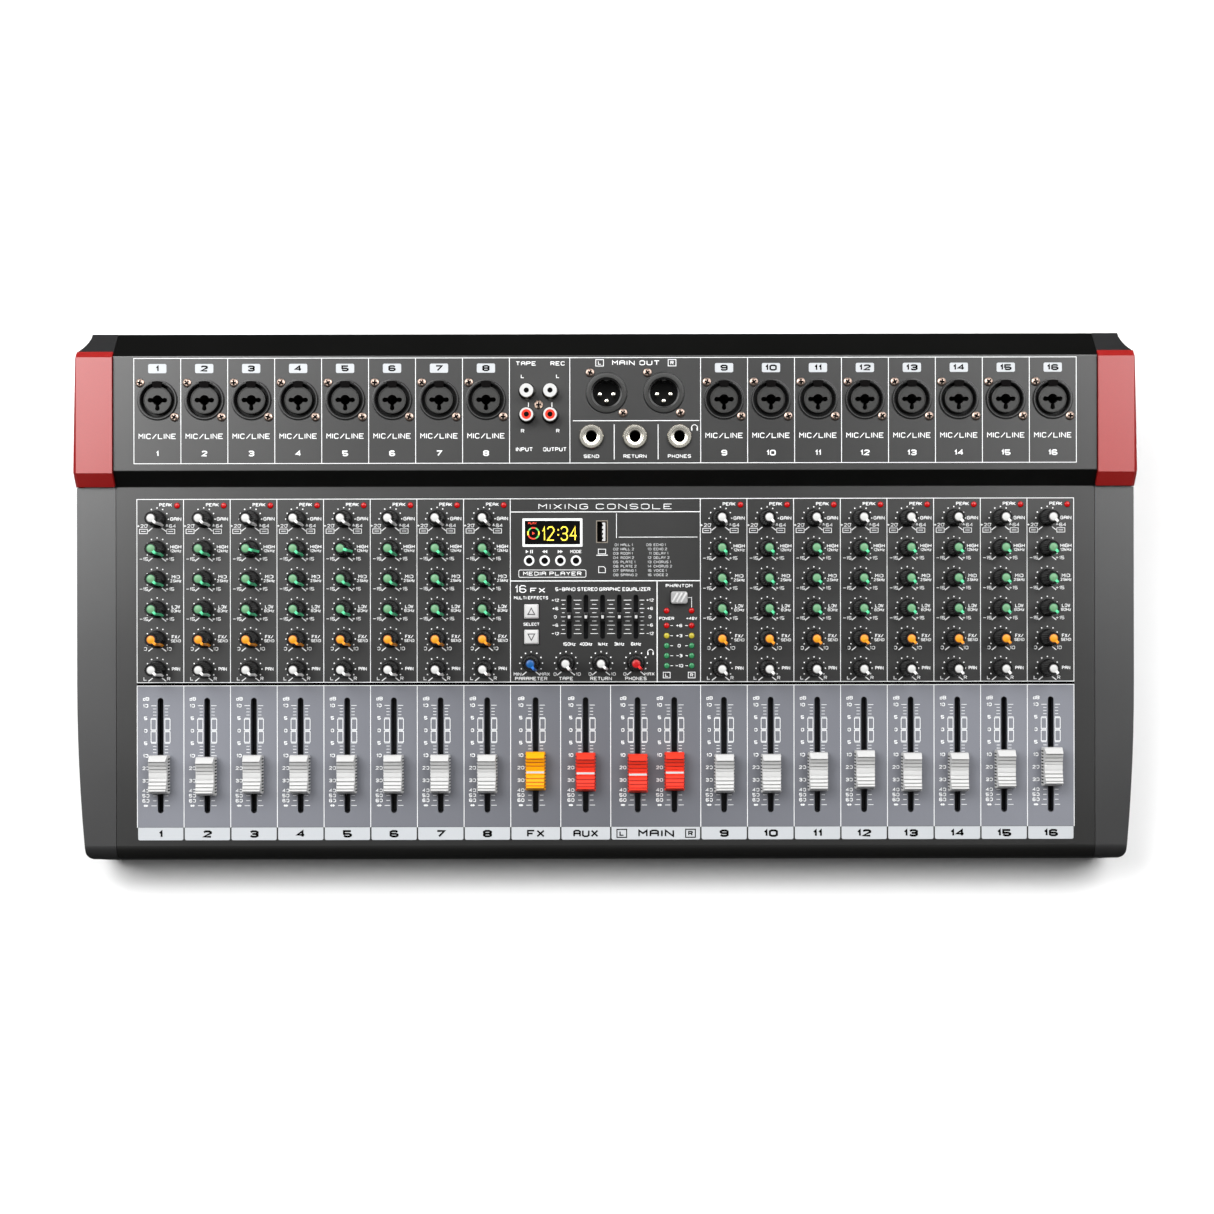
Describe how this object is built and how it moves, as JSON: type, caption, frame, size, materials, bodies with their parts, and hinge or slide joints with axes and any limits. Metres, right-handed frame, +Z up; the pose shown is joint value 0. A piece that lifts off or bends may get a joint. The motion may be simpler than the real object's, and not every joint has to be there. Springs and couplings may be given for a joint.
{
  "type": "mixing console",
  "caption": "Sloping audio mixing console with channel strips of rotary knobs, slide faders, a small graphic equaliser and connectors on a raised rear panel.",
  "frame": {"origin": "on the table top, under the middle of the case", "axes": "+X to the right, +Y away from the player, +Z up"},
  "size_m": [0.6346, 0.3154, 0.0958],
  "materials": {
    "case_black": "satin textured powder coat",
    "cheek_black": "fine texture",
    "accent_red": "satin metallic paint",
    "foot_rubber": "matt",
    "screw_nickel": "nickel plated",
    "connector_black": "fine texture",
    "contact_silver": "polished",
    "jack_nut": "polished",
    "cap_white": "satin",
    "cap_orange": "satin",
    "cap_red": "satin",
    "knob_white": "satin",
    "knob_green": "satin",
    "knob_orange": "satin",
    "knob_blue": "satin",
    "knob_red": "satin",
    "knob_grey": "satin",
    "button_white": "translucent",
    "button_grey": "satin",
    "slider_black": "satin",
    "window_black": "clear gloss",
    "lamp_red": "translucent",
    "board_green": "solder mask",
    "device_blue": "moulded",
    "socket_white": "moulded"
  },
  "bodies": {
    "console": {"top_panel": "case_black", "base_tray": "case_black", "left_cheek": "cheek_black", "right_cheek": "cheek_black", "accent_trims": "accent_red", "rubber_feet": "foot_rubber", "screws": "screw_nickel", "channel_sockets": "connector_black", "main_outputs": "contact_silver", "phone_jacks": "jack_nut", "phono_sockets": "socket_white", "player_module": "window_black", "indicator_lamps": "lamp_red", "channel_knobs": "knob_grey", "potentiometers": "device_blue", "circuit_boards": "board_green", "power_inlet": "connector_black"},
    "channel_01_fader": {"channel_01_fader": "cap_white"},
    "channel_02_fader": {"channel_02_fader": "cap_white"},
    "channel_03_fader": {"channel_03_fader": "cap_white"},
    "channel_04_fader": {"channel_04_fader": "cap_white"},
    "channel_05_fader": {"channel_05_fader": "cap_white"},
    "channel_06_fader": {"channel_06_fader": "cap_white"},
    "channel_07_fader": {"channel_07_fader": "cap_white"},
    "channel_08_fader": {"channel_08_fader": "cap_white"},
    "channel_09_fader": {"channel_09_fader": "cap_white"},
    "channel_10_fader": {"channel_10_fader": "cap_white"},
    "channel_11_fader": {"channel_11_fader": "cap_white"},
    "channel_12_fader": {"channel_12_fader": "cap_white"},
    "channel_13_fader": {"channel_13_fader": "cap_white"},
    "channel_14_fader": {"channel_14_fader": "cap_white"},
    "channel_15_fader": {"channel_15_fader": "cap_white"},
    "channel_16_fader": {"channel_16_fader": "cap_white"},
    "effects_fader": {"effects_fader": "cap_orange"},
    "media_fader": {"media_fader": "cap_red"},
    "main_left_fader": {"main_left_fader": "cap_red"},
    "main_right_fader": {"main_right_fader": "cap_red"},
    "channel_01_gain_knob": {"channel_01_gain_knob": "knob_white"},
    "channel_01_high_knob": {"channel_01_high_knob": "knob_green"},
    "channel_01_mid_knob": {"channel_01_mid_knob": "knob_green"},
    "channel_01_low_knob": {"channel_01_low_knob": "knob_green"},
    "channel_01_effects_knob": {"channel_01_effects_knob": "knob_orange"},
    "channel_01_pan_knob": {"channel_01_pan_knob": "knob_white"},
    "parameter_knob": {"parameter_knob": "knob_blue"},
    "tape_knob": {"tape_knob": "knob_white"},
    "return_knob": {"return_knob": "knob_white"},
    "phones_knob": {"phones_knob": "knob_red"},
    "eq_150hz_slider": {"eq_150hz_slider": "slider_black"},
    "eq_400hz_slider": {"eq_400hz_slider": "slider_black"},
    "eq_1khz_slider": {"eq_1khz_slider": "slider_black"},
    "eq_3khz_slider": {"eq_3khz_slider": "slider_black"},
    "eq_6khz_slider": {"eq_6khz_slider": "slider_black"},
    "play_button": {"play_button": "button_grey"},
    "previous_button": {"previous_button": "button_grey"},
    "next_button": {"next_button": "button_grey"},
    "mode_button": {"mode_button": "button_grey"},
    "effect_up_button": {"effect_up_button": "button_white"},
    "effect_down_button": {"effect_down_button": "button_white"},
    "phantom_button": {"phantom_button": "button_white"},
    "power_rocker": {"power_rocker": "connector_black"}
  },
  "joints": [
    {"name": "channel_01_fader_slide", "type": "slide", "parent": "console", "child": "channel_01_fader", "axis": [0, 0.9903, 0.1392], "range_m": [-0.0189, 0.0411]},
    {"name": "channel_02_fader_slide", "type": "slide", "parent": "console", "child": "channel_02_fader", "axis": [0, 0.9903, 0.1392], "range_m": [-0.0178, 0.0422]},
    {"name": "channel_03_fader_slide", "type": "slide", "parent": "console", "child": "channel_03_fader", "axis": [0, 0.9903, 0.1392], "range_m": [-0.0189, 0.0411]},
    {"name": "channel_04_fader_slide", "type": "slide", "parent": "console", "child": "channel_04_fader", "axis": [0, 0.9903, 0.1392], "range_m": [-0.0189, 0.0411]},
    {"name": "channel_05_fader_slide", "type": "slide", "parent": "console", "child": "channel_05_fader", "axis": [0, 0.9903, 0.1392], "range_m": [-0.0189, 0.0411]},
    {"name": "channel_06_fader_slide", "type": "slide", "parent": "console", "child": "channel_06_fader", "axis": [0, 0.9903, 0.1392], "range_m": [-0.0189, 0.0411]},
    {"name": "channel_07_fader_slide", "type": "slide", "parent": "console", "child": "channel_07_fader", "axis": [0, 0.9903, 0.1392], "range_m": [-0.019, 0.041]},
    {"name": "channel_08_fader_slide", "type": "slide", "parent": "console", "child": "channel_08_fader", "axis": [0, 0.9903, 0.1392], "range_m": [-0.019, 0.041]},
    {"name": "channel_09_fader_slide", "type": "slide", "parent": "console", "child": "channel_09_fader", "axis": [0, 0.9903, 0.1392], "range_m": [-0.019, 0.041]},
    {"name": "channel_10_fader_slide", "type": "slide", "parent": "console", "child": "channel_10_fader", "axis": [0, 0.9903, 0.1392], "range_m": [-0.019, 0.041]},
    {"name": "channel_11_fader_slide", "type": "slide", "parent": "console", "child": "channel_11_fader", "axis": [0, 0.9903, 0.1392], "range_m": [-0.02, 0.04]},
    {"name": "channel_12_fader_slide", "type": "slide", "parent": "console", "child": "channel_12_fader", "axis": [0, 0.9903, 0.1392], "range_m": [-0.0212, 0.0388]},
    {"name": "channel_13_fader_slide", "type": "slide", "parent": "console", "child": "channel_13_fader", "axis": [0, 0.9903, 0.1392], "range_m": [-0.0197, 0.0403]},
    {"name": "channel_14_fader_slide", "type": "slide", "parent": "console", "child": "channel_14_fader", "axis": [0, 0.9903, 0.1392], "range_m": [-0.0197, 0.0403]},
    {"name": "channel_15_fader_slide", "type": "slide", "parent": "console", "child": "channel_15_fader", "axis": [0, 0.9903, 0.1392], "range_m": [-0.0213, 0.0387]},
    {"name": "channel_16_fader_slide", "type": "slide", "parent": "console", "child": "channel_16_fader", "axis": [0, 0.9903, 0.1392], "range_m": [-0.0228, 0.0372]},
    {"name": "effects_fader_slide", "type": "slide", "parent": "console", "child": "effects_fader", "axis": [0, 0.9903, 0.1392], "range_m": [-0.0206, 0.0394]},
    {"name": "media_fader_slide", "type": "slide", "parent": "console", "child": "media_fader", "axis": [0, 0.9903, 0.1392], "range_m": [-0.02, 0.04]},
    {"name": "main_left_fader_slide", "type": "slide", "parent": "console", "child": "main_left_fader", "axis": [0, 0.9903, 0.1392], "range_m": [-0.0192, 0.0408]},
    {"name": "main_right_fader_slide", "type": "slide", "parent": "console", "child": "main_right_fader", "axis": [0, 0.9903, 0.1392], "range_m": [-0.0203, 0.0397]},
    {"name": "channel_01_gain_knob_turn", "type": "hinge", "parent": "console", "child": "channel_01_gain_knob", "pos_m": [-0.2689, 0.04407, 0.06943], "axis": [0, -0.1392, 0.9903], "range_deg": [-13, 287]},
    {"name": "channel_01_high_knob_turn", "type": "hinge", "parent": "console", "child": "channel_01_high_knob", "pos_m": [-0.2689, 0.02625, 0.06693], "axis": [0, -0.1392, 0.9903], "range_deg": [-13, 287]},
    {"name": "channel_01_mid_knob_turn", "type": "hinge", "parent": "console", "child": "channel_01_mid_knob", "pos_m": [-0.2689, 0.00842, 0.06442], "axis": [0, -0.1392, 0.9903], "range_deg": [-13, 287]},
    {"name": "channel_01_low_knob_turn", "type": "hinge", "parent": "console", "child": "channel_01_low_knob", "pos_m": [-0.2689, -0.0094, 0.06192], "axis": [0, -0.1392, 0.9903], "range_deg": [-13, 287]},
    {"name": "channel_01_effects_knob_turn", "type": "hinge", "parent": "console", "child": "channel_01_effects_knob", "pos_m": [-0.2689, -0.02723, 0.05941], "axis": [0, -0.1392, 0.9903], "range_deg": [-13, 287]},
    {"name": "channel_01_pan_knob_turn", "type": "hinge", "parent": "console", "child": "channel_01_pan_knob", "pos_m": [-0.2689, -0.04505, 0.05691], "axis": [0, -0.1392, 0.9903], "range_deg": [-13, 287]},
    {"name": "parameter_knob_turn", "type": "hinge", "parent": "console", "child": "parameter_knob", "pos_m": [-0.0446, -0.04179, 0.05737], "axis": [0, -0.1392, 0.9903], "range_deg": [-4, 296]},
    {"name": "tape_knob_turn", "type": "hinge", "parent": "console", "child": "tape_knob", "pos_m": [-0.0237, -0.04179, 0.05737], "axis": [0, -0.1392, 0.9903], "range_deg": [-3, 297]},
    {"name": "return_knob_turn", "type": "hinge", "parent": "console", "child": "return_knob", "pos_m": [-0.0027, -0.04179, 0.05737], "axis": [0, -0.1392, 0.9903], "range_deg": [-15, 285]},
    {"name": "phones_knob_turn", "type": "hinge", "parent": "console", "child": "phones_knob", "pos_m": [0.0182, -0.04179, 0.05737], "axis": [0, -0.1392, 0.9903], "range_deg": [-14, 286]},
    {"name": "eq_150hz_slider_slide", "type": "slide", "parent": "console", "child": "eq_150hz_slider", "axis": [0, 0.9903, 0.1392], "range_m": [-0.01, 0.01]},
    {"name": "eq_400hz_slider_slide", "type": "slide", "parent": "console", "child": "eq_400hz_slider", "axis": [0, 0.9903, 0.1392], "range_m": [-0.01, 0.01]},
    {"name": "eq_1khz_slider_slide", "type": "slide", "parent": "console", "child": "eq_1khz_slider", "axis": [0, 0.9903, 0.1392], "range_m": [-0.01, 0.01]},
    {"name": "eq_3khz_slider_slide", "type": "slide", "parent": "console", "child": "eq_3khz_slider", "axis": [0, 0.9903, 0.1392], "range_m": [-0.01, 0.01]},
    {"name": "eq_6khz_slider_slide", "type": "slide", "parent": "console", "child": "eq_6khz_slider", "axis": [0, 0.9903, 0.1392], "range_m": [-0.01, 0.01]},
    {"name": "play_button_slide", "type": "slide", "parent": "console", "child": "play_button", "axis": [0, 0.1392, -0.9903], "range_m": [0, 0.0005], "stiffness_N_per_m": 150, "springref_m": -0.002},
    {"name": "previous_button_slide", "type": "slide", "parent": "console", "child": "previous_button", "axis": [0, 0.1392, -0.9903], "range_m": [0, 0.0005], "stiffness_N_per_m": 150, "springref_m": -0.002},
    {"name": "next_button_slide", "type": "slide", "parent": "console", "child": "next_button", "axis": [0, 0.1392, -0.9903], "range_m": [0, 0.0005], "stiffness_N_per_m": 150, "springref_m": -0.002},
    {"name": "mode_button_slide", "type": "slide", "parent": "console", "child": "mode_button", "axis": [0, 0.1392, -0.9903], "range_m": [0, 0.0005], "stiffness_N_per_m": 150, "springref_m": -0.002},
    {"name": "effect_up_button_slide", "type": "slide", "parent": "console", "child": "effect_up_button", "axis": [0, 0.1392, -0.9903], "range_m": [0, 0.001], "stiffness_N_per_m": 150, "springref_m": -0.003},
    {"name": "effect_down_button_slide", "type": "slide", "parent": "console", "child": "effect_down_button", "axis": [0, 0.1392, -0.9903], "range_m": [0, 0.001], "stiffness_N_per_m": 150, "springref_m": -0.003},
    {"name": "phantom_button_slide", "type": "slide", "parent": "console", "child": "phantom_button", "axis": [0, 0.1392, -0.9903], "range_m": [0, 0.003], "stiffness_N_per_m": 150, "springref_m": -0.003},
    {"name": "power_rocker_turn", "type": "hinge", "parent": "console", "child": "power_rocker", "pos_m": [0.191, 0.15306, 0.029], "axis": [1, 0, 0], "range_deg": [-16, 0]}
  ]
}
